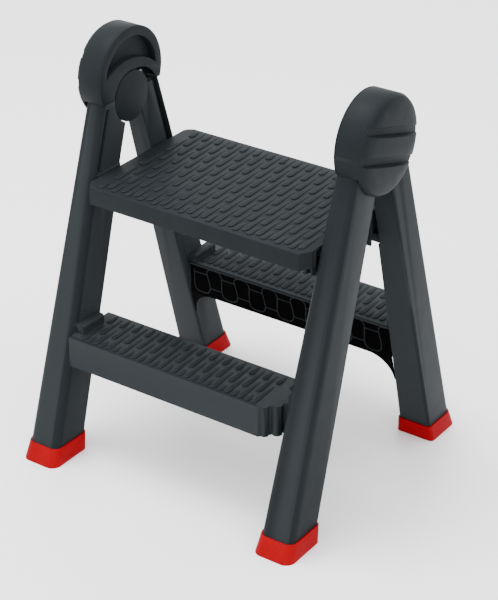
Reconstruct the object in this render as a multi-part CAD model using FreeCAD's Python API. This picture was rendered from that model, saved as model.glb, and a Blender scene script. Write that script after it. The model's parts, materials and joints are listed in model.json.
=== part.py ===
import FreeCAD, Part
import math
import os
from FreeCAD import Vector

# Folding two-step stool: an A-frame of two hollow moulded frames that pivot on round hubs, a lower
# tread in each frame, and a top tread that swings up between the hubs when the frames close.
# Lengths in millimetres.  Y is measured from the vertical plane through the hubs while the parts
# are made; export() then moves everything so that the origin is the middle of the footprint.

os.makedirs("parts", exist_ok=True)

# Overall places
RIM_Z = 28.0            # upper rim of the rubber shoes
REF_Z = 500.0           # height of the upper leg section that sets the taper
LEG_END_Z = 8.0         # lower end of each leg, inside its shoe
HUB_Y_OFFSET = 3.7      # hubs stand this far behind the middle of the footprint

# Leg sections at the shoe rim and at REF_Z: outer and inner X, front and back Y.  The corner rounds
# are given smaller Y side first: each leg is rounder on the side that faces away from the other.
FRONT_LEG = {"outer": (248.0, 242.0), "inner": (192.0, 202.0),
             "front": (-232.0, -84.0), "back": (-161.0, -18.4), "rounds": (13.0, 5.0)}
REAR_LEG = {"outer": (248.0, 242.0), "inner": (192.0, 202.0),
            "front": (159.0, 26.0), "back": (225.0, 84.0), "rounds": (5.0, 13.0)}
WALL = 4.0
NOSE_ROUND = 3.4

# Rubber shoes
SHOE_FOOT_FLARE = 5.0   # how far the shoe stands out from the leg at the floor
SHOE_RIM_FLARE = 2.5    # and at its rim
CORNER_ROOM = 0.8       # how much tighter than the leg's the rounds of a cut-out for the leg are
PLUG_ROOM = 0.3         # between the leg's hollow and the shoe's plug
PLUG_WALL = 4.7

# Hubs
HUB_Z = 575.0
HUB_R = 75.0
PIVOT_Z = 540.0
DISC_R = 40.0
DISC_GAP = 1.5          # radial room round the pivot disc
LUG_R = 38.0
SEAM_FRONT_Z = 546.0    # top of the front leg, where the drum wall begins
SEAM_REAR_Z = 549.3
REAR_LEG_TOP_Z = 548.5
PANEL_X = 205.0         # recessed inner panels of both legs
COVER_X = (205.3, 208.3)
DISC_X = (207.5, 221.7)
CAP_X = (205.0, 207.4)
PLATE_X = (224.0, 229.0)
LUG_X = (222.3, 240.0)
DOME_X = 242.6
DOME_TOP_X = 257.5
BEVEL = (65.0, 254.5)               # r and X where the dome's bevel meets its crown
ARCH = (10.0, 524.0, 57.0)          # y, z, r of the swing slot in the inner cover
CRESCENT_OUTER = (0.0, 574.0, 60.6)
CRESCENT_INNER = (-5.6, 498.0, 102.0)
CRESCENT_DEPTH = 12.0
GROOVE_OFFSET = 21.5
GROOVE_WIDE = 17.0
GROOVE_NARROW = 9.5
GROOVE_FLOOR_X = 248.5
BACKING_X = 244.5       # inner face of the bars that close the grooves from behind
BACKING_HALF = 12.0
SHELL_WALL = 3.5
BOSS_TOP_X = 253.8
LEAN = math.degrees(math.atan2(148.0, 472.0))

# Pins
AXLE_R = 6.0
AXLE_HEAD_R = 10.5
RUN_GAP = 0.05
BUSH_R = 9.0
SCREW_RING_R = 45.0
SCREW_ANGLES = (-17.4, 72.6, 162.6)   # between and above the hub's grooves
STEP_PIN_Y = -74.0
STEP_PIN_Z = 428.0
STEP_PIN_R = 5.0
STEP_BUSH_R = 7.5

# Treads
SKIN = 4.0
TOP_Z = 442.0
TOP_HALF_Y = 131.0
TOP_HALF_X = 198.5
NOSE_HALF_X = 187.0
NOSE_BACK_Y = -110.0
SLANT_Y = -113.0        # the nose's corners slant back from its end to here
TOP_SKIRT = 27.5
SIDE_BOTTOM_Z = 384.0
SIDE_WALL_X = (183.0, 187.0)
SIDE_FRONT_Z = 404.0    # the sides' lower edge rises to here at their front end
SIDE_FLAT_Y = -56.0     # and is level behind this
# Outer ribs of the side wall: middle Y and half thickness
SIDE_RIBS = ((-74.0, 2.5), (-45.0, 1.5), (-15.0, 1.5), (15.0, 1.5), (45.0, 1.5), (75.0, 1.5), (106.0, 3.0))
SHOULDER_Z = 380.0      # shelf on the rear legs that carries the top tread's lugs
LUG_TOP_X = 204.0
LOW_Z = 206.6
LOW_SKIRT = 50.0
LOW_LIP = 14.0          # depth of the front tread's back lip
# Plan of the fluted corner at the right-hand end of the front lower tread
NOTCH_END_Y = -151.0
NOTCH_EDGE = ((155.0, -184.0), (167.5, -169.5), (174.0, -157.0), (184.0, NOTCH_END_Y), (197.0, NOTCH_END_Y))
NOTCH = ((155.0, -190.0),) + NOTCH_EDGE + ((198.0, NOTCH_END_Y), (198.0, -190.0))
NOTCH_WALL = NOTCH_EDGE + ((197.0, -147.0), (182.5, -147.0), (170.5, -154.0), (163.5, -167.5), (151.0, -184.0))
FLUTES = ((160.5, -174.5, 6.2), (173.2, -160.5, 8.2))   # x, y, r
FRONT_STEP_Y = (-184.0, -86.0)
REAR_STEP_Y = (124.0, 225.0)
STEP_END_X = 197.0
CURB_X = (183.0, 197.0)
CURB_TOP_Z = 221.0
WEB_Y = (125.5, 128.5)
WEB_BOTTOM_Z = 151.0
ARCH_SPAN_X = 150.0     # the rear web's lower edge is straight to here, then arches down
RIB = 2.5


def box(x0, x1, y0, y1, z0, z1):
    return Part.makeBox(x1 - x0, y1 - y0, z1 - z0, Vector(x0, y0, z0))


def disc(r, x0, x1, y, z):
    return Part.makeCylinder(r, x1 - x0, Vector(x0, y, z), Vector(1, 0, 0))


def mirrored(shape):
    return shape.mirror(Vector(0, 0, 0), Vector(1, 0, 0))


def both(shape):
    return shape.fuse(mirrored(shape))


def prism_z(points, z0, z1):
    outline = [Vector(x, y, z0) for x, y in points]
    return Part.Face(Part.makePolygon(outline + outline[:1])).extrude(Vector(0, 0, z1 - z0))


def prism_x(points, x0, x1):
    outline = [Vector(x0, y, z) for y, z in points]
    return Part.Face(Part.makePolygon(outline + outline[:1])).extrude(Vector(x1 - x0, 0, 0))


def export(shape, name):
    moved = shape.removeSplitter() if shape.ShapeType == "Compound" and len(shape.Solids) == 1 else shape
    moved = moved.copy()
    moved.translate(Vector(0, HUB_Y_OFFSET, 0))
    moved.exportStep("parts/" + name + ".step")


def export_pair(shape, name):
    export(shape, name + "_right")
    export(mirrored(shape), name + "_left")


# ---- legs ----

def along(pair, z):
    return pair[0] + (pair[1] - pair[0]) * (z - RIM_Z) / (REF_Z - RIM_Z)


def leg_rect(leg, z):
    """Section of the right-hand leg at height z as (x0, x1, y0, y1)."""
    return (along(leg["inner"], z), along(leg["outer"], z), along(leg["front"], z), along(leg["back"], z))


def grown(rect, by):
    x0, x1, y0, y1 = rect
    return (x0 - by, x1 + by, y0 - by, y1 + by)


def section(rect, z, r_front, r_back):
    """Closed wire of a rectangle with rounded corners, smaller Y side first."""
    x0, x1, y0, y1 = rect
    corners = ((x0, y0, 1, 1, r_front), (x1, y0, -1, 1, r_front),
               (x1, y1, -1, -1, r_back), (x0, y1, 1, -1, r_back))
    marks = []
    for i, (x, y, sx, sy, r) in enumerate(corners):
        along_y = Vector(x, y + sy * r, z)
        along_x = Vector(x + sx * r, y, z)
        bow = 1.0 - math.sqrt(0.5)
        middle = Vector(x + sx * r * bow, y + sy * r * bow, z)
        marks.append((along_y, middle, along_x) if i % 2 == 0 else (along_x, middle, along_y))
    edges = []
    for i, (start, middle, end) in enumerate(marks):
        edges.append(Part.Arc(start, middle, end).toShape())
        edges.append(Part.makeLine(end, marks[(i + 1) % 4][0]))
    return Part.Wire(edges)


def loft(rect0, z0, rect1, z1, r_front=0.5, r_back=0.5):
    wires = [section(rect0, z0, r_front, r_back), section(rect1, z1, r_front, r_back)]
    return Part.makeLoft(wires, True, True)


def leg_rounds(leg, grow):
    return [max(r + grow, 1.0) for r in leg["rounds"]]


def leg_bar(leg, z0, z1, shrink=0.0, tighter=0.0):
    """The leg's own outline moved inwards by shrink, with its corner rounds made tighter if asked."""
    r_front, r_back = leg_rounds(leg, -shrink - tighter)
    return loft(grown(leg_rect(leg, z0), -shrink), z0, grown(leg_rect(leg, z1), -shrink), z1, r_front, r_back)


def leg_slab(leg, z0, z1, x_range, y_from, y_to):
    """A block that follows the leg's lean.  y_from and y_to are ("front" or "back", offset)."""
    rects = []
    for z in (z0, z1):
        y0 = along(leg[y_from[0]], z) + y_from[1]
        y1 = along(leg[y_to[0]], z) + y_to[1]
        rects.append((x_range[0], x_range[1], y0, y1))
    return loft(rects[0], z0, rects[1], z1, 0.3, 0.3)


def hollow_leg(leg, top_z, shoulder_z):
    """Right-hand leg: closed box section, open at its foot, with the recessed upper inner side."""
    bar = leg_bar(leg, LEG_END_Z, top_z)
    low_cavity = leg_bar(leg, LEG_END_Z - 1, shoulder_z - 8.0, WALL)
    high = leg_slab(leg, shoulder_z - 16.0, 505.0, (219.0, 238.0), ("front", WALL), ("back", -WALL))
    return bar.cut(low_cavity).cut(high)


def front_leg():
    leg = hollow_leg(FRONT_LEG, SEAM_FRONT_Z, TOP_Z + 1.0)
    recess = leg_slab(FRONT_LEG, TOP_Z + 1.0, 560.0, (190.0, PANEL_X), ("front", 7.0), ("back", 30.0))
    channel = leg_slab(FRONT_LEG, TOP_Z + 3.0, 538.0, (190.0, 216.0), ("front", 9.0), ("front", 17.0))
    boss = disc(STEP_PIN_R + 4.0, 202.0, 225.0, STEP_PIN_Y, STEP_PIN_Z)
    hole = disc(STEP_PIN_R, 195.0, 222.0, STEP_PIN_Y, STEP_PIN_Z)
    leg = leg.cut(recess).cut(channel).fuse(boss).cut(hole)
    core = disc(HUB_R - 5.0, PLATE_X[0], PLATE_X[1], 0, HUB_Z)
    core = core.cut(box(220, 245, -5, 90, 480, SEAM_REAR_Z + 1.0)).cut(box(220, 245, -90, -5, 480, 535))
    lug = disc(LUG_R, LUG_X[0], LUG_X[1], 0, PIVOT_Z)
    leg = leg.cut(disc(DISC_R + DISC_GAP, 190, LUG_X[0], 0, PIVOT_Z)).fuse(core).fuse(lug)
    leg = leg.cut(disc(AXLE_R, 220, 245, 0, PIVOT_Z)).cut(disc(AXLE_HEAD_R + 1.0, LUG_X[1], 250, 0, PIVOT_Z))
    for y, z in screw_places():
        leg = leg.cut(disc(2.1, 220, 232, y, z))
    return leg


def rear_leg():
    leg = hollow_leg(REAR_LEG, REAR_LEG_TOP_Z, SHOULDER_Z)
    recess = leg_slab(REAR_LEG, SHOULDER_Z, 560.0, (190.0, PANEL_X), ("front", -30.0), ("back", 30.0))
    channel = leg_slab(REAR_LEG, SHOULDER_Z + 4.0, 560.0, (190.0, 216.0), ("back", -20.0), ("back", -5.0))
    leg = leg.cut(recess).cut(channel)
    leg = leg.cut(disc(LUG_R + 4.0, DISC_X[1], 250, 0, PIVOT_Z))
    leg = leg.cut(disc(DISC_R, 190, DISC_X[0], 0, PIVOT_Z))
    leg = leg.fuse(disc(DISC_R, DISC_X[0], DISC_X[1], 0, PIVOT_Z))
    leg = leg.cut(disc(BUSH_R, 200, 230, 0, PIVOT_Z))
    return leg.cut(disc(13.0, 200, DISC_X[0] + 3.5, 0, PIVOT_Z))


def shoe(leg):
    """Rubber shoe: a flared cup round the leg's end with a plug inside the hollow."""
    r_front, r_back = leg_rounds(leg, SHOE_RIM_FLARE)
    foot = grown(leg_rect(leg, 0), SHOE_FOOT_FLARE)
    rim = grown(leg_rect(leg, RIM_Z), SHOE_RIM_FLARE)
    outer = loft(foot, 0, rim, RIM_Z, r_front, r_back)
    cup = outer.cut(leg_bar(leg, LEG_END_Z, RIM_Z + 1, 0.0, CORNER_ROOM))
    plug = leg_bar(leg, LEG_END_Z - 1, RIM_Z - 6, WALL + PLUG_ROOM)
    plug = plug.cut(leg_bar(leg, LEG_END_Z, RIM_Z, WALL + PLUG_ROOM + PLUG_WALL))
    return cup.fuse(plug)


# ---- lower treads ----

def curb(y0, y1):
    """Raised end of a lower tread, against the leg."""
    block = box(CURB_X[0], CURB_X[1], y0, y1, LOW_Z - SKIN, CURB_TOP_Z)
    top_edge = [e for e in block.Edges if e.BoundBox.YLength > 5
                and e.BoundBox.Center.x < CURB_X[0] + 0.1 and e.BoundBox.Center.z > CURB_TOP_Z - 0.1]
    return block.makeFillet(5.0, top_edge)


def gusset(r, y0, y1, bottom_z):
    """Round fillet between the underside of a tread and the inner side of a leg."""
    x = STEP_END_X
    corner = Vector(x, y0, bottom_z)
    start = Vector(x - r, y0, bottom_z)
    end = Vector(x, y0, bottom_z - r)
    middle = Vector(x - r * (1 - math.sqrt(0.5)), y0, bottom_z - r * (1 - math.sqrt(0.5)))
    bow = Part.Arc(start, middle, end).toShape()
    wire = Part.Wire([Part.makeLine(corner, start), bow, Part.makeLine(end, corner)])
    return Part.Face(wire).extrude(Vector(0, y1 - y0, 0))


def nose(plate, y, z, radius):
    """Rounds the long upper edge that a plate has at the given Y and Z."""
    edges = [e for e in plate.Edges if e.BoundBox.XLength > 100
             and abs(e.BoundBox.Center.y - y) < 0.1 and abs(e.BoundBox.Center.z - z) < 0.1]
    return plate.makeFillet(radius, edges)


def front_step():
    y0, y1 = FRONT_STEP_Y
    bottom = LOW_Z - LOW_SKIRT
    step = box(-STEP_END_X, STEP_END_X, y0, y1, bottom, LOW_Z)
    step = step.cut(box(-STEP_END_X - 1, STEP_END_X + 1, y0 + SKIN, y1 - SKIN, bottom - 1, LOW_Z - SKIN))
    step = step.cut(box(-STEP_END_X - 1, STEP_END_X + 1, y1 - SKIN - 1, y1 + 1, bottom - 1, LOW_Z - LOW_LIP))
    step = nose(step, y0, LOW_Z, NOSE_ROUND)
    step = step.cut(prism_z(NOTCH, bottom - 1, LOW_Z + 1))
    wall = prism_z(NOTCH_WALL, bottom, LOW_Z)
    flutes = [Part.makeCylinder(r, LOW_SKIRT, Vector(x, y, bottom)) for x, y, r in FLUTES]
    left = mirrored(curb(y0 + 20.0, y1 - 28.0)).fuse(mirrored(gusset(12.0, y0 + 2.0, y0 + 50.0, bottom)))
    right = curb(NOTCH_END_Y + 4.0, y1 - 28.0).fuse(gusset(12.0, NOTCH_END_Y, y0 + 50.0, bottom))
    return step.fuse([wall] + flutes).fuse([left, right])


def rear_step():
    y0, y1 = REAR_STEP_Y
    bottom = LOW_Z - LOW_SKIRT
    step = box(-STEP_END_X, STEP_END_X, y0, y1, LOW_Z - SKIN, LOW_Z)
    step = nose(step, y0, LOW_Z, 2.5)
    step = step.fuse(box(-STEP_END_X, STEP_END_X, y1 - SKIN, y1, bottom, LOW_Z))
    ends = box(STEP_END_X - SKIN, STEP_END_X, y0 + 24.0, y1, bottom, LOW_Z)
    return step.fuse(both(ends)).fuse(both(curb(y0 + 2.0, y0 + 56.0)))


def front_frame():
    leg = front_leg()
    room = leg_bar(FRONT_LEG, LOW_Z - 70.0, LOW_Z + 30.0, WALL - 0.5)
    step = front_step().cut(both(room))
    return step.fuse([leg, mirrored(leg)]).removeSplitter()


def rear_frame():
    leg = rear_leg()
    room = leg_bar(REAR_LEG, LOW_Z - 70.0, LOW_Z + 30.0, WALL - 0.5)
    step = rear_step().cut(both(room))
    return step.fuse([leg, mirrored(leg)]).removeSplitter()


def lattice(x_half, y0, y1, z0, z1, columns, rows):
    """Stiffening ribs under a tread: a crossed grid inside the given box."""
    bars = [box(-x_half, x_half, y0, y0 + RIB, z0, z1), box(-x_half, x_half, y1 - RIB, y1, z0, z1)]
    for i in range(1, rows):
        y = y0 + (y1 - y0) * i / rows
        bars.append(box(-x_half, x_half, y - RIB / 2, y + RIB / 2, z0, z1))
    for i in range(columns + 1):
        x = -x_half + (2 * x_half - RIB) * i / columns
        bars.append(box(x, x + RIB, y0, y1, z0, z1))
    return bars[0].fuse(bars[1:]).removeSplitter()


def front_step_web():
    """Black ribs under the front tread, cut back so that the folded rear tread passes behind them."""
    y0 = FRONT_STEP_Y[0] + SKIN
    y1 = FRONT_STEP_Y[1] - SKIN - 1.0
    ribs = lattice(148.0, y0, y1, LOW_Z - LOW_SKIRT + 4.0, LOW_Z - SKIN, 12, 3)
    clear = prism_x(((y1 + 5, LOW_Z - 16.0), (y1 - 24.0, LOW_Z - 60.0), (y1 + 5, LOW_Z - 60.0)), -200, 200)
    return ribs.cut(clear)


def rear_step_web():
    """Black front panel of the rear tread, arched down along the legs at its ends, with ribs behind it."""
    y0, y1 = WEB_Y
    half = STEP_END_X - 3.6
    panel = box(-half, half, y0, y1, WEB_BOTTOM_Z, LOW_Z - SKIN)
    drop = half - ARCH_SPAN_X
    spandrel = gusset(drop, y0 - 6.0, y0 + 24.0, WEB_BOTTOM_Z)
    spandrel.translate(Vector(half - STEP_END_X, 0, 0))
    low = WEB_BOTTOM_Z - drop - 2.0
    lean = leg_slab(REAR_LEG, low, WEB_BOTTOM_Z + 2.0, (140.0, 200.0), ("front", 1.2), ("front", 4.4))
    spandrel = spandrel.common(lean)
    room = leg_bar(REAR_LEG, 90.0, 230.0, 0.0, CORNER_ROOM)
    ribs = lattice(180.0, y1, REAR_STEP_Y[1] - SKIN, LOW_Z - 40.0, LOW_Z - SKIN, 14, 4)
    return panel.fuse(both(spandrel)).fuse(ribs).cut(both(room))


# ---- top tread ----

def top_outline():
    right = [(NOSE_HALF_X, -TOP_HALF_Y), (TOP_HALF_X, SLANT_Y), (TOP_HALF_X, TOP_HALF_Y - 12.0),
             (TOP_HALF_X - 4.0, TOP_HALF_Y - 5.0), (NOSE_HALF_X, TOP_HALF_Y)]
    return right + [(-x, y) for x, y in reversed(right)]


def top_side():
    """Deep right-hand side of the top tread: inner wall, outer ribs, corner post, pin boss and rest lug."""
    x0, x1 = SIDE_WALL_X
    parts = [box(x0, x1, NOSE_BACK_Y, 112.0, SIDE_BOTTOM_Z, TOP_Z - SKIN)]
    parts.append(box(TOP_HALF_X - 2.8, TOP_HALF_X, SLANT_Y, NOSE_BACK_Y + 7.0, SIDE_BOTTOM_Z, TOP_Z - 1.0))
    for y, half in SIDE_RIBS:
        parts.append(box(x1 - 1.0, TOP_HALF_X, y - half, y + half, SIDE_BOTTOM_Z, TOP_Z - SKIN))
    parts.append(disc(STEP_BUSH_R + 4.0, x0, TOP_HALF_X, STEP_PIN_Y, STEP_PIN_Z - 1.0))
    parts.append(box(x1 - 1.0, LUG_TOP_X, 66.0, 106.0, SHOULDER_Z + 0.5, SHOULDER_Z + 14.0))
    side = parts[0].fuse(parts[1:])
    tip_y = NOSE_BACK_Y - 5.0
    rise = ((tip_y, SIDE_BOTTOM_Z - 1), (tip_y, SIDE_FRONT_Z), (SIDE_FLAT_Y, SIDE_BOTTOM_Z - 1))
    side = side.cut(prism_x(rise, x0 - 1, TOP_HALF_X + 1))
    return side.cut(disc(STEP_BUSH_R, x0 + 2.0, TOP_HALF_X + 1, STEP_PIN_Y, STEP_PIN_Z))


def top_step():
    plate = prism_z(top_outline(), TOP_Z - SKIN, TOP_Z)
    plate = nose(plate, -TOP_HALF_Y, TOP_Z, NOSE_ROUND)
    bottom = TOP_Z - TOP_SKIRT
    front = box(-NOSE_HALF_X, NOSE_HALF_X, -TOP_HALF_Y, -TOP_HALF_Y + SKIN, bottom, TOP_Z - SKIN)
    back = box(-NOSE_HALF_X, NOSE_HALF_X, TOP_HALF_Y - SKIN, TOP_HALF_Y, bottom, TOP_Z)
    slant = ((NOSE_HALF_X - SKIN, -TOP_HALF_Y), (NOSE_HALF_X, -TOP_HALF_Y), (TOP_HALF_X, SLANT_Y),
             (TOP_HALF_X, NOSE_BACK_Y), (TOP_HALF_X - 2.8, NOSE_BACK_Y))
    end = prism_z(slant, bottom, TOP_Z - SKIN)
    behind = box(NOSE_HALF_X - SKIN, NOSE_HALF_X, 1.0 - TOP_HALF_Y, NOSE_BACK_Y + 2.0, bottom, TOP_Z - SKIN)
    end = end.fuse(behind)
    rear_end = box(NOSE_HALF_X - SKIN, NOSE_HALF_X, 110.0, TOP_HALF_Y, bottom, TOP_Z)
    shell = plate.fuse([front, back]).fuse(both(end)).fuse(both(rear_end)).fuse(both(top_side()))
    return shell.removeSplitter()


def top_step_web():
    y = TOP_HALF_Y - SKIN
    return lattice(SIDE_WALL_X[0], -y, y, TOP_Z - 24.0, TOP_Z - SKIN, 14, 8)


# ---- hubs ----

def screw_places():
    for angle in SCREW_ANGLES:
        a = math.radians(angle)
        yield SCREW_RING_R * math.cos(a), HUB_Z + SCREW_RING_R * math.sin(a)


def turned(base_x, r, rim_x, bevel, crown_x):
    """Domed disc about the hub's X axis: flat base, straight rim, two-step bevel and a spherical crown."""
    bevel_r, bevel_x = bevel
    knee_r, knee_x = (r + bevel_r) / 2 + 1.6, (rim_x + bevel_x) / 2 + 1.2
    rise = crown_x - bevel_x
    corners = [(0, base_x), (r, base_x), (r, rim_x), (knee_r, knee_x), (bevel_r, bevel_x), (bevel_r, crown_x),
               (0, crown_x)]
    outline = [Vector(x, 0, HUB_Z + radius) for radius, x in corners]
    profile = Part.Face(Part.makePolygon(outline + outline[:1]))
    body = profile.revolve(Vector(0, 0, HUB_Z), Vector(1, 0, 0), 360)
    ball_r = (bevel_r ** 2 + rise ** 2) / (2 * rise)
    ball = Part.makeSphere(ball_r)
    ball.rotate(Vector(0, 0, 0), Vector(0, 0, 1), 180)
    ball.translate(Vector(crown_x - ball_r, 0, HUB_Z))
    return body.common(ball)


def groove(offset):
    """Sloped-sided channel across the dome, square to the front leg."""
    x0, x1 = GROOVE_FLOOR_X, DOME_TOP_X + 1.0
    wide = GROOVE_WIDE / 2
    narrow = GROOVE_NARROW / 2
    ring = [(x0, -narrow), (x0, narrow), (x1, wide), (x1, -wide)]
    outline = [Vector(x, -100, HUB_Z + offset + z) for x, z in ring]
    bar = Part.Face(Part.makePolygon(outline + outline[:1])).extrude(Vector(0, 200, 0))
    bar.rotate(Vector(0, 0, HUB_Z), Vector(1, 0, 0), -LEAN)
    return bar


def hub_shell():
    """Domed outer shell: the grooves keep a backing bar behind them, and bosses take the screws."""
    rim = DOME_X + 3.0
    outer = turned(DOME_X, HUB_R, rim, BEVEL, DOME_TOP_X)
    inner_bevel = (BEVEL[0] - 4.0, BEVEL[1] - SHELL_WALL)
    core = turned(DOME_X - 1.0, HUB_R - SHELL_WALL, rim, inner_bevel, DOME_TOP_X - 4.0)
    for side in (-1, 1):
        bar = box(BACKING_X, DOME_TOP_X + 1.0, -90, 90, HUB_Z - BACKING_HALF, HUB_Z + BACKING_HALF)
        bar.translate(Vector(0, 0, side * GROOVE_OFFSET))
        bar.rotate(Vector(0, 0, HUB_Z), Vector(1, 0, 0), -LEAN)
        core = core.cut(bar)
    dome = outer.cut(core).cut(groove(GROOVE_OFFSET)).cut(groove(-GROOVE_OFFSET))
    dome = dome.cut(disc(12.5, 235.0, 247.0, 0, PIVOT_Z))
    drum = disc(HUB_R, COVER_X[1], DOME_X, 0, HUB_Z).cut(disc(HUB_R - SHELL_WALL, 200, 250, 0, HUB_Z))
    drum = drum.cut(box(200, 250, 0, 90, 480, SEAM_REAR_Z)).cut(box(200, 250, -90, 0, 480, SEAM_FRONT_Z))
    bosses = [disc(5.0, PLATE_X[1], BOSS_TOP_X, y, z) for y, z in screw_places()]
    holes = [disc(2.0, PLATE_X[1] - 1, 248.0, y, z) for y, z in screw_places()]
    return dome.fuse(drum).fuse(bosses).cut(Part.makeCompound(holes))


def crescent(x0, x1, grow):
    oy, oz, outer_r = CRESCENT_OUTER
    iy, iz, inner_r = CRESCENT_INNER
    return disc(outer_r + grow, x0, x1, oy, oz).cut(disc(inner_r - grow, x0 - 1, x1 + 1, iy, iz))


def hub_cover():
    """Inner face of the hub with its deep crescent finger recess and the swing slot."""
    x0, x1 = COVER_X
    plate = disc(HUB_R, x0, x1, 0, HUB_Z)
    plate = plate.fuse(crescent(x1, x0 + CRESCENT_DEPTH + 2.0, 2.0))
    plate = plate.cut(crescent(x0 - 1, x0 + CRESCENT_DEPTH, 0.0))
    ay, az, ar = ARCH
    plate = plate.cut(disc(ar, 200, 223, ay, az).cut(box(200, 223, -90, -13.0, 450, 600)))
    plate = plate.cut(disc(DISC_R + DISC_GAP, 200, 223, 0, PIVOT_Z))
    return plate.cut(box(200, 223, 0, 90, 480, SEAM_REAR_Z)).cut(box(200, 223, -90, 0, 480, SEAM_FRONT_Z))


def hub_axle():
    shaft = disc(AXLE_R, 208.0, LUG_X[1], 0, PIVOT_Z)
    return shaft.fuse(disc(AXLE_HEAD_R, LUG_X[1], LUG_X[1] + 3.0, 0, PIVOT_Z))


def hub_ring():
    return disc(10.5, 208.6, 210.0, 0, PIVOT_Z).cut(disc(AXLE_R, 208, 211, 0, PIVOT_Z))


def hub_bush():
    x0, x1 = DISC_X[0] + 3.5, DISC_X[1]
    return disc(BUSH_R, x0, x1, 0, PIVOT_Z).cut(disc(AXLE_R + RUN_GAP, x0 - 1, x1 + 1, 0, PIVOT_Z))


def hub_screws():
    screws = []
    for y, z in screw_places():
        head = disc(4.0, PLATE_X[0] - 2.4, PLATE_X[0], y, z)
        head = head.cut(disc(1.6, PLATE_X[0] - 3, PLATE_X[0] - 1.0, y, z))
        screws.append(head.fuse(disc(1.95, PLATE_X[0], 247.0, y, z)))
    return Part.makeCompound(screws)


def pivot_cap():
    return disc(DISC_R, CAP_X[0], CAP_X[1], 0, PIVOT_Z)


def step_pin():
    pin = disc(STEP_PIN_R, 187.5, 221.5, STEP_PIN_Y, STEP_PIN_Z)
    return pin.fuse(disc(8.0, 199.0, 200.2, STEP_PIN_Y, STEP_PIN_Z))


def step_bush():
    x0, x1 = SIDE_WALL_X[0] + 2.0, TOP_HALF_X
    ring = disc(STEP_BUSH_R, x0, x1, STEP_PIN_Y, STEP_PIN_Z)
    return ring.cut(disc(STEP_PIN_R + RUN_GAP, x0 + 2.0, x1 + 1, STEP_PIN_Y, STEP_PIN_Z))


export(front_frame(), "front_frame")
export(front_step_web(), "front_step_web")
export(rear_frame(), "rear_frame")
export(rear_step_web(), "rear_step_web")
export(top_step(), "top_step")
export(top_step_web(), "top_step_web")
export_pair(shoe(FRONT_LEG), "front_foot")
export_pair(shoe(REAR_LEG), "rear_foot")
export_pair(hub_shell(), "hub_shell")
export_pair(hub_cover(), "hub_cover")
export_pair(hub_axle(), "hub_axle")
export_pair(hub_ring(), "hub_ring")
export_pair(hub_bush(), "hub_bush")
export_pair(hub_screws(), "hub_screws")
export_pair(pivot_cap(), "pivot_cap")
export_pair(step_pin(), "step_pin")
export_pair(step_bush(), "step_bush")
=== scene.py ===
import json
import math
import bmesh
import bpy
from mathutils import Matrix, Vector


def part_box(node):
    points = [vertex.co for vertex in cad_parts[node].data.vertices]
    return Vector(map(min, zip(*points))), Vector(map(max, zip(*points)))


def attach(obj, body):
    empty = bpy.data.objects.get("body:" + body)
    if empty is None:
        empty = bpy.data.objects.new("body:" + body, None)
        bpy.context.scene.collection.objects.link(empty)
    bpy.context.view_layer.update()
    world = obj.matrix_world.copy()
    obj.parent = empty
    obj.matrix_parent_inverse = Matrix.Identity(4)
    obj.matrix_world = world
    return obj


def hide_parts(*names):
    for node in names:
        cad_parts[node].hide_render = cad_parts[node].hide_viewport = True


# Looks of the folding two-step stool. Metres, in the CAD frame; MM turns millimetres into metres.

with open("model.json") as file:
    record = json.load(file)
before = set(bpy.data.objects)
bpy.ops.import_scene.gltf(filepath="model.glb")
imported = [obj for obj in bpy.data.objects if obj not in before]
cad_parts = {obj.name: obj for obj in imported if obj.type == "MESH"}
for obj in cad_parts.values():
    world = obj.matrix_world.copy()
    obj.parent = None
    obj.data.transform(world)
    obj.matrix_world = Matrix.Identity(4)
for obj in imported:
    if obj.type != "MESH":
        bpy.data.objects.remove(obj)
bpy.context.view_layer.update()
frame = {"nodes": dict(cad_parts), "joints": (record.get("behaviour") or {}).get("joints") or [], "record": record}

MM = 0.001
JOINTS = {joint["name"]: joint for joint in frame["joints"]}
HUB_Y = JOINTS["rear_frame_fold"]["pos_m"][1]

# Camera, in the CAD frame
CAMERA_AZIMUTH = math.radians(34.99)
CAMERA_ELEVATION = math.radians(28.79)
CAMERA_DISTANCE = 3.0488
CAMERA_TARGET = Vector((-0.00575, 0.02771, 0.23865))
CAMERA_LENS = 118.2

# Tread pattern
FAMILY_PITCH = 24.4 * MM    # between columns of one family; the two families alternate
BAR_PITCH = 62.6 * MM
BAR_LENGTH = 55.0 * MM
BAR_TAIL = 2.2 * MM         # half width at the narrow rear end
BAR_HEAD = 4.9 * MM         # half width at the rounded front end
BAR_TAIL_RISE = 0.35 * MM
BAR_HEAD_RISE = 1.9 * MM
BAR_INSET = 0.9 * MM
BAR_SUNK = 0.4 * MM
BAR_ROWS = 6                # rows tried each way; those past a tread's edge are left out
ARC_STEPS = 8

# Light: colour of the sky at the horizon, its strength and the lamp's power
SKY_LOW = (0.75, 0.76, 0.78)
SKY_STRENGTH = 2.6
KEY_WATTS = 115.0
BODY_SPECULAR = 0.035


# Painted edge highlight: pointiness at which the paler painted highlight begins, how far it takes to reach its
# most, and its most
HIGHLIGHT_FROM = 0.54
HIGHLIGHT_SPAN = 0.1
HIGHLIGHT_MOST = 0.6

# Rounding of the moulded edges, and the angle from which an edge counts as sharp
FRAME_EDGE = 1.6 * MM
SHELL_EDGE = 1.4 * MM
COVER_EDGE = 0.9 * MM
CAP_EDGE = 0.8 * MM
SHOE_EDGE = 1.8 * MM
EDGE_SEGMENTS = 3
SHARP_FROM = math.radians(32.0)
MERGE_WITHIN = 0.01 * MM
FLAT_WITHIN = math.radians(1.0)


# ---------------------------------------------------------------- materials

def new_material(name):
    material = bpy.data.materials.new(name)
    material.use_nodes = True
    tree = material.node_tree
    return material, tree, tree.nodes["Principled BSDF"]


def noise(tree, scale, detail, vector):
    node = tree.nodes.new("ShaderNodeTexNoise")
    node.inputs["Scale"].default_value = scale
    node.inputs["Detail"].default_value = detail
    tree.links.new(vector, node.inputs["Vector"])
    return node.outputs["Fac"]


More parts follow.
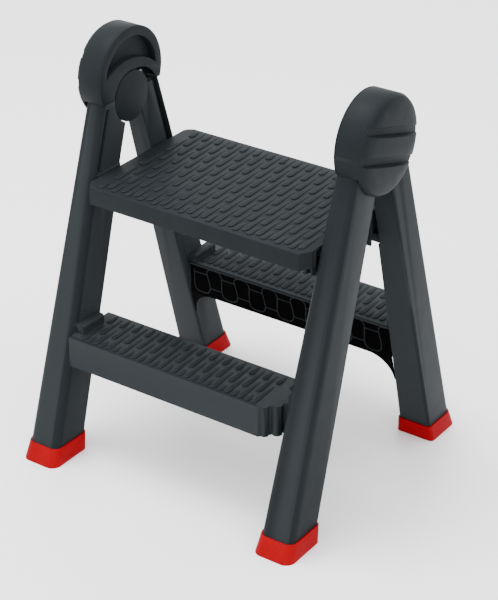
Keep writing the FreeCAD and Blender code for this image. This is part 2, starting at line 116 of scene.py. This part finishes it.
def ramp(tree, value, stops):
    node = tree.nodes.new("ShaderNodeValToRGB")
    elements = node.color_ramp.elements
    for element, (place, colour) in zip((elements[0], elements[1]), stops):
        element.position = place
        element.color = (*colour, 1.0)
    tree.links.new(value, node.inputs["Fac"])
    return node.outputs["Color"]


def mixed(tree, blend_type, factor, first, second):
    node = tree.nodes.new("ShaderNodeMix")
    node.data_type = "RGBA"
    node.blend_type = blend_type
    if isinstance(factor, float):
        node.inputs["Factor"].default_value = factor
    else:
        tree.links.new(factor, node.inputs["Factor"])
    for value, socket in ((first, node.inputs["A"]), (second, node.inputs["B"])):
        if isinstance(value, tuple):
            socket.default_value = (*value, 1.0)
        else:
            tree.links.new(value, socket)
    return node.outputs["Result"]


def spread(tree, value, low, high):
    node = tree.nodes.new("ShaderNodeMapRange")
    node.inputs["From Min"].default_value = 0.3
    node.inputs["From Max"].default_value = 0.7
    node.inputs["To Min"].default_value = low
    node.inputs["To Max"].default_value = high
    tree.links.new(value, node.inputs["Value"])
    return node.outputs["Result"]


def bump(tree, shader, height, distance, strength):
    node = tree.nodes.new("ShaderNodeBump")
    node.inputs["Distance"].default_value = distance
    node.inputs["Strength"].default_value = strength
    tree.links.new(height, node.inputs["Height"])
    tree.links.new(node.outputs["Normal"], shader.inputs["Normal"])


def moulded_plastic(name, dark, light, highlight_colour, roughness, grain, specular):
    """Injection-moulded plastic: cloudy colour, fine eroded grain and a painted highlight that makes sharp edges
    paler.
    """
    material, tree, shader = new_material(name)
    coordinates = tree.nodes.new("ShaderNodeTexCoord").outputs["Object"]
    clouds = noise(tree, 14.0, 3.0, coordinates)
    colour = ramp(tree, clouds, ((0.3, dark), (0.7, light)))
    speck = noise(tree, grain * 0.8, 2.0, coordinates)
    shade = ramp(tree, speck, ((0.35, (0.86, 0.86, 0.86)), (0.65, (1.0, 1.0, 1.0))))
    colour = mixed(tree, "MULTIPLY", 1.0, colour, shade)
    # Painted highlight: edges that Pointiness finds sharp are mixed towards a paler colour, faking the bright
    # lines that light leaves along them
    edges = tree.nodes.new("ShaderNodeNewGeometry").outputs["Pointiness"]
    painted_highlight = ramp(tree, edges, ((HIGHLIGHT_FROM, (0.0,) * 3), (HIGHLIGHT_FROM + HIGHLIGHT_SPAN, (HIGHLIGHT_MOST,) * 3)))
    colour = mixed(tree, "MIX", painted_highlight, colour, highlight_colour)
    tree.links.new(colour, shader.inputs["Base Color"])
    patches = noise(tree, 45.0, 4.0, coordinates)
    tree.links.new(spread(tree, patches, *roughness), shader.inputs["Roughness"])
    shader.inputs["Specular IOR Level"].default_value = specular
    bump(tree, shader, noise(tree, grain, 3.0, coordinates), 0.25 * MM, 0.35)
    return material


def drawn_steel(name):
    """Zinc-plated steel with fine turning marks along X."""
    material, tree, shader = new_material(name)
    coordinates = tree.nodes.new("ShaderNodeTexCoord").outputs["Object"]
    stretch = tree.nodes.new("ShaderNodeMapping")
    stretch.inputs["Scale"].default_value = (1.0, 0.08, 0.08)
    tree.links.new(coordinates, stretch.inputs["Vector"])
    marks = noise(tree, 2600.0, 2.0, stretch.outputs["Vector"])
    colour = ramp(tree, marks, ((0.3, (0.42, 0.42, 0.41)), (0.7, (0.6, 0.6, 0.58))))
    tree.links.new(colour, shader.inputs["Base Color"])
    tree.links.new(spread(tree, marks, 0.28, 0.42), shader.inputs["Roughness"])
    shader.inputs["Metallic"].default_value = 1.0
    bump(tree, shader, marks, 0.05 * MM, 0.2)
    return material


# The third colour of each plastic is its paler painted edge highlight
MATERIALS = {
    "body_grey": moulded_plastic("anthracite_plastic", (0.0102, 0.0126, 0.0140), (0.0120, 0.0146, 0.0161),
                                 (0.024, 0.028, 0.030), (0.41, 0.48), 900.0, BODY_SPECULAR),
    # Near-black step webs: partly the webs' own black, partly painted shade that darkens the deep pockets between
    # their ribs beyond what occlusion gives
    "web_black": moulded_plastic("black_plastic", (0.0002, 0.0002, 0.0003), (0.0004, 0.0004, 0.0005),
                                 (0.004, 0.004, 0.004), (0.6, 0.75), 1100.0, 0.01),
    "foot_red": moulded_plastic("red_rubber", (0.225, 0.0001, 0.0030), (0.28, 0.0002, 0.0040),
                                (0.38, 0.004, 0.004), (0.36, 0.5), 700.0, 0.03),
    "bush_white": moulded_plastic("acetal_white", (0.72, 0.71, 0.67), (0.80, 0.79, 0.75),
                                  (0.85, 0.85, 0.82), (0.32, 0.42), 1300.0, 0.5),
    "pin_steel": drawn_steel("plated_steel"),
}
SLOT_OF = {part["node"]: part["material_slot"] for part in frame["record"]["subparts"]}
BODY_OF = {node: body for body, nodes in frame["record"]["behaviour"]["bodies"].items() for node in nodes}


# ---------------------------------------------------------------- pieces

def add_object(name, mesh, slot, body):
    obj = bpy.data.objects.new(name, mesh)
    bpy.context.scene.collection.objects.link(obj)
    mesh.materials.clear()
    mesh.materials.append(MATERIALS[slot])
    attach(obj, body)
    return obj


def smooth(obj, angle):
    for polygon in obj.data.polygons:
        polygon.use_smooth = True
    obj.data.set_sharp_from_angle(angle=math.radians(angle))


def rounded(node, width):
    """A copy of a CAD node with its sharp edges rounded off as a mould would leave them."""
    mesh = frame["nodes"][node].data.copy()
    work = bmesh.new()
    work.from_mesh(mesh)
    bmesh.ops.remove_doubles(work, verts=work.verts, dist=MERGE_WITHIN)
    bmesh.ops.dissolve_limit(work, angle_limit=FLAT_WITHIN, verts=work.verts, edges=work.edges)
    work.to_mesh(mesh)
    work.free()
    obj = add_object(node + "_moulded", mesh, SLOT_OF[node], BODY_OF[node])
    bevel = obj.modifiers.new("rounded", "BEVEL")
    bevel.width = width
    bevel.segments = EDGE_SEGMENTS
    bevel.limit_method = "ANGLE"
    bevel.angle_limit = SHARP_FROM
    bevel.use_clamp_overlap = True
    bpy.context.view_layer.update()
    evaluated = obj.evaluated_get(bpy.context.evaluated_depsgraph_get())
    obj.data = bpy.data.meshes.new_from_object(evaluated)
    obj.modifiers.clear()
    smooth(obj, 38.0)
    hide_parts(node)
    return obj


def bar_outline(x, front, length):
    """Outline of one teardrop bar seen from above, with its rise at each point, front end first."""
    centre = front + BAR_HEAD
    tail = front + length - BAR_TAIL
    points = []
    for i in range(ARC_STEPS + 1):
        turn = math.pi + math.pi * i / ARC_STEPS
        points.append((x + BAR_HEAD * math.cos(turn), centre + BAR_HEAD * math.sin(turn), 1.0))
    for i in range(ARC_STEPS + 1):
        turn = math.pi * i / ARC_STEPS
        points.append((x + BAR_TAIL * math.cos(turn), tail + BAR_TAIL * math.sin(turn), 0.0))
    return points


def add_bar(vertices, faces, x, front, length, top_z):
    outline = bar_outline(x, front, length)
    middle_y = front + length / 2
    count = len(outline)
    base = len(vertices)
    shrink = 1.0 - BAR_INSET / BAR_HEAD
    for ring in range(3):
        for px, py, forward in outline:
            rise = BAR_TAIL_RISE + (BAR_HEAD_RISE - BAR_TAIL_RISE) * forward
            if ring == 0:
                vertices.append((px, py, top_z - BAR_SUNK))
            elif ring == 1:
                vertices.append((px, py, top_z + rise * 0.7))
            else:
                inner_y = middle_y + (py - middle_y) * (1.0 - 2.0 * BAR_INSET / length)
                vertices.append((x + (px - x) * shrink, inner_y, top_z + rise))
    for ring in range(2):
        low = base + ring * count
        for i in range(count):
            j = (i + 1) % count
            faces.append((low + i, low + j, low + count + j, low + count + i))
    faces.append(tuple(base + 2 * count + i for i in range(count)))
    faces.append(tuple(base + i for i in reversed(range(count))))


def tread_bars(name, body, top_z, x_limits, y_limits, families, keep=None):
    """Staggered columns of bars; a family is (x of one column, y of one front end)."""
    vertices, faces = [], []
    shortest = 4.0 * BAR_HEAD
    for column_x, front_y in families:
        first = math.ceil((x_limits[0] + BAR_HEAD - column_x) / FAMILY_PITCH)
        last = math.floor((x_limits[1] - BAR_HEAD - column_x) / FAMILY_PITCH)
        for column in range(first, last + 1):
            x = column_x + column * FAMILY_PITCH
            for row in range(-BAR_ROWS, BAR_ROWS + 1):
                start = max(front_y + row * BAR_PITCH, y_limits[0])
                end = min(front_y + row * BAR_PITCH + BAR_LENGTH, y_limits[1])
                if end - start < shortest:
                    continue
                if keep and not keep(x, start):
                    continue
                add_bar(vertices, faces, x, start, end - start, top_z)
    mesh = bpy.data.meshes.new(name)
    mesh.from_pydata(vertices, [], faces)
    obj = add_object(name, mesh, "body_grey", body)
    smooth(obj, 50.0)
    return obj


def rod(name, points, thickness, slot, body):
    """A round bead that follows the points, as a mesh."""
    curve = bpy.data.curves.new(name, "CURVE")
    curve.dimensions = "3D"
    curve.bevel_depth = thickness / 2
    curve.bevel_resolution = 3
    curve.use_fill_caps = True
    for line in points:
        spline = curve.splines.new("NURBS")
        spline.points.add(len(line) - 1)
        for point, place in zip(spline.points, line):
            point.co = (*place, 1.0)
        spline.order_u = 3
        spline.use_endpoint_u = True
    helper = bpy.data.objects.new(name + "_line", curve)
    mesh = bpy.data.meshes.new_from_object(helper)
    bpy.data.objects.remove(helper)
    obj = add_object(name, mesh, slot, body)
    smooth(obj, 60.0)
    return obj


# ---------------------------------------------------------------- the stool

for moulding in ("front_frame", "rear_frame", "top_step"):
    rounded(moulding, FRAME_EDGE)
for side in ("left", "right"):
    rounded("hub_shell_" + side, SHELL_EDGE)
    rounded("hub_cover_" + side, COVER_EDGE)
    rounded("pivot_cap_" + side, CAP_EDGE)
    rounded("front_foot_" + side, SHOE_EDGE)
    rounded("rear_foot_" + side, SHOE_EDGE)

SKIN = 4.0 * MM
TOP_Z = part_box("top_step")[1].z
LOW_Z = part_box("front_step_web")[1].z + SKIN
TOP_FRONT = HUB_Y - 131.0 * MM
FRONT_FRONT = HUB_Y - 184.0 * MM
REAR_FRONT = HUB_Y + 124.0 * MM
NOSE_STRIP = 8.0 * MM
TOP_HALF_X = 187.5 * MM     # the bars stay inside these
LOW_HALF_X = 181.0 * MM
FLUTES_FROM_X = 148.0 * MM
FLUTES_TO_Y = HUB_Y - 146.0 * MM


def clear_of_fluted_corner(x, y):
    """The front tread narrows at its right end in front of the leg."""
    return x < FLUTES_FROM_X or y > FLUTES_TO_Y


tread_bars("top_tread_bars", "top_tread", TOP_Z, (-TOP_HALF_X, TOP_HALF_X),
           (TOP_FRONT + NOSE_STRIP, HUB_Y + 127.0 * MM),
           ((9.4 * MM, TOP_FRONT + 14.0 * MM), (-2.8 * MM, TOP_FRONT + 45.3 * MM)))
tread_bars("front_tread_bars", "front_section", LOW_Z, (-LOW_HALF_X, LOW_HALF_X),
           (FRONT_FRONT + 6.0 * MM, HUB_Y - 89.0 * MM),
           ((20.0 * MM, FRONT_FRONT + 69.0 * MM), (7.8 * MM, FRONT_FRONT + 34.5 * MM)),
           clear_of_fluted_corner)
tread_bars("rear_tread_bars", "rear_section", LOW_Z, (-LOW_HALF_X, LOW_HALF_X),
           (REAR_FRONT + 10.0 * MM, REAR_FRONT + 98.0 * MM),
           ((-176.0 * MM, REAR_FRONT + 41.0 * MM), (-163.8 * MM, REAR_FRONT + 73.0 * MM)))

for slot_node, node_object in frame["nodes"].items():
    if not node_object.hide_render:
        node_object.data.materials.clear()
        node_object.data.materials.append(MATERIALS[SLOT_OF[slot_node]])


# ---------------------------------------------------------------- rear panel ribs

RIB_PERIOD = 54.8 * MM
RIB_FIRST_X = -162.8 * MM
RIB_THICK = 2.3 * MM
RIB_LIMIT_X = 190.0 * MM
PANEL_Y = HUB_Y + 125.5 * MM
RIB_PERIODS = range(-1, 8)
# One period of the snaking rib, as x from its trough and z
RIB_WAVE = ((0, 157), (7, 159), (10, 168), (5, 185), (1, 196), (6, 202), (15, 203),
            (26, 202), (31, 196), (32, 190), (32, 170), (35, 160), (42, 157))
# Straight links between its runs, as two x from the trough and z
RIB_LINKS = ((-22.8, 3.0, 191), (9.5, 32.0, 168))


def snaking_rib():
    line = []
    for period in RIB_PERIODS:
        for dx, z in RIB_WAVE:
            x = RIB_FIRST_X + period * RIB_PERIOD + dx * MM
            if abs(x) < RIB_LIMIT_X:
                line.append((x, PANEL_Y, z * MM))
    return line


def cross_ribs():
    lines = []
    for period in RIB_PERIODS:
        trough = RIB_FIRST_X + period * RIB_PERIOD
        for left, right, z in RIB_LINKS:
            if abs(trough + left * MM) < RIB_LIMIT_X and abs(trough + right * MM) < RIB_LIMIT_X:
                lines.append([(trough + left * MM, PANEL_Y, z * MM), (trough + right * MM, PANEL_Y, z * MM)])
    return lines


rod("rear_panel_ribs", [snaking_rib()] + cross_ribs(), RIB_THICK, "body_grey", "rear_section")


# ---------------------------------------------------------------- studio

FLOOR_HALF = 6
FLOOR_COLOUR = (0.93, 0.93, 0.94, 1.0)
KEY_PLACE = (-0.7, -0.3, 3.0)
KEY_TARGET = (0, 0, 0.2)
KEY_SIZE = 1.6


def studio_floor():
    half = FLOOR_HALF
    mesh = bpy.data.meshes.new("studio_floor")
    corners = [(-half, -half, 0), (half, -half, 0), (half, half, 0), (-half, half, 0)]
    mesh.from_pydata(corners, [], [(0, 1, 2, 3)])
    floor = bpy.data.objects.new("studio_floor", mesh)
    bpy.context.scene.collection.objects.link(floor)
    material, _, shader = new_material("pale_floor")
    shader.inputs["Base Color"].default_value = FLOOR_COLOUR
    shader.inputs["Roughness"].default_value = 0.35
    mesh.materials.append(material)


def area_light(name, place, target, size, power):
    light = bpy.data.lights.new(name, "AREA")
    light.size = size
    light.energy = power
    lamp = bpy.data.objects.new(name, light)
    bpy.context.scene.collection.objects.link(lamp)
    lamp.location = place
    lamp.rotation_euler = (Vector(target) - Vector(place)).to_track_quat("-Z", "Y").to_euler()


def studio_world():
    """Even white tent over a pale table, a little darker low down."""
    world = bpy.data.worlds.new("studio")
    bpy.context.scene.world = world
    world.use_nodes = True
    tree = world.node_tree
    direction = tree.nodes.new("ShaderNodeTexCoord").outputs["Generated"]
    split = tree.nodes.new("ShaderNodeSeparateXYZ")
    tree.links.new(direction, split.inputs["Vector"])
    sky = ramp(tree, split.outputs["Z"], ((0.0, SKY_LOW), (0.7, (1.0, 1.0, 1.0))))
    tree.links.new(sky, tree.nodes["Background"].inputs["Color"])
    tree.nodes["Background"].inputs["Strength"].default_value = SKY_STRENGTH


def studio():
    studio_floor()
    studio_world()
    area_light("key", KEY_PLACE, KEY_TARGET, KEY_SIZE, KEY_WATTS)


def camera():
    data = bpy.data.cameras.new("camera")
    data.lens = CAMERA_LENS
    data.sensor_width = 36.0
    obj = bpy.data.objects.new("camera", data)
    bpy.context.scene.collection.objects.link(obj)
    flat = CAMERA_DISTANCE * math.cos(CAMERA_ELEVATION)
    offset = Vector((flat * math.sin(CAMERA_AZIMUTH), -flat * math.cos(CAMERA_AZIMUTH),
                     CAMERA_DISTANCE * math.sin(CAMERA_ELEVATION)))
    obj.location = CAMERA_TARGET + offset
    obj.rotation_euler = (-offset).to_track_quat("-Z", "Y").to_euler()
    bpy.context.scene.camera = obj


studio()
camera()
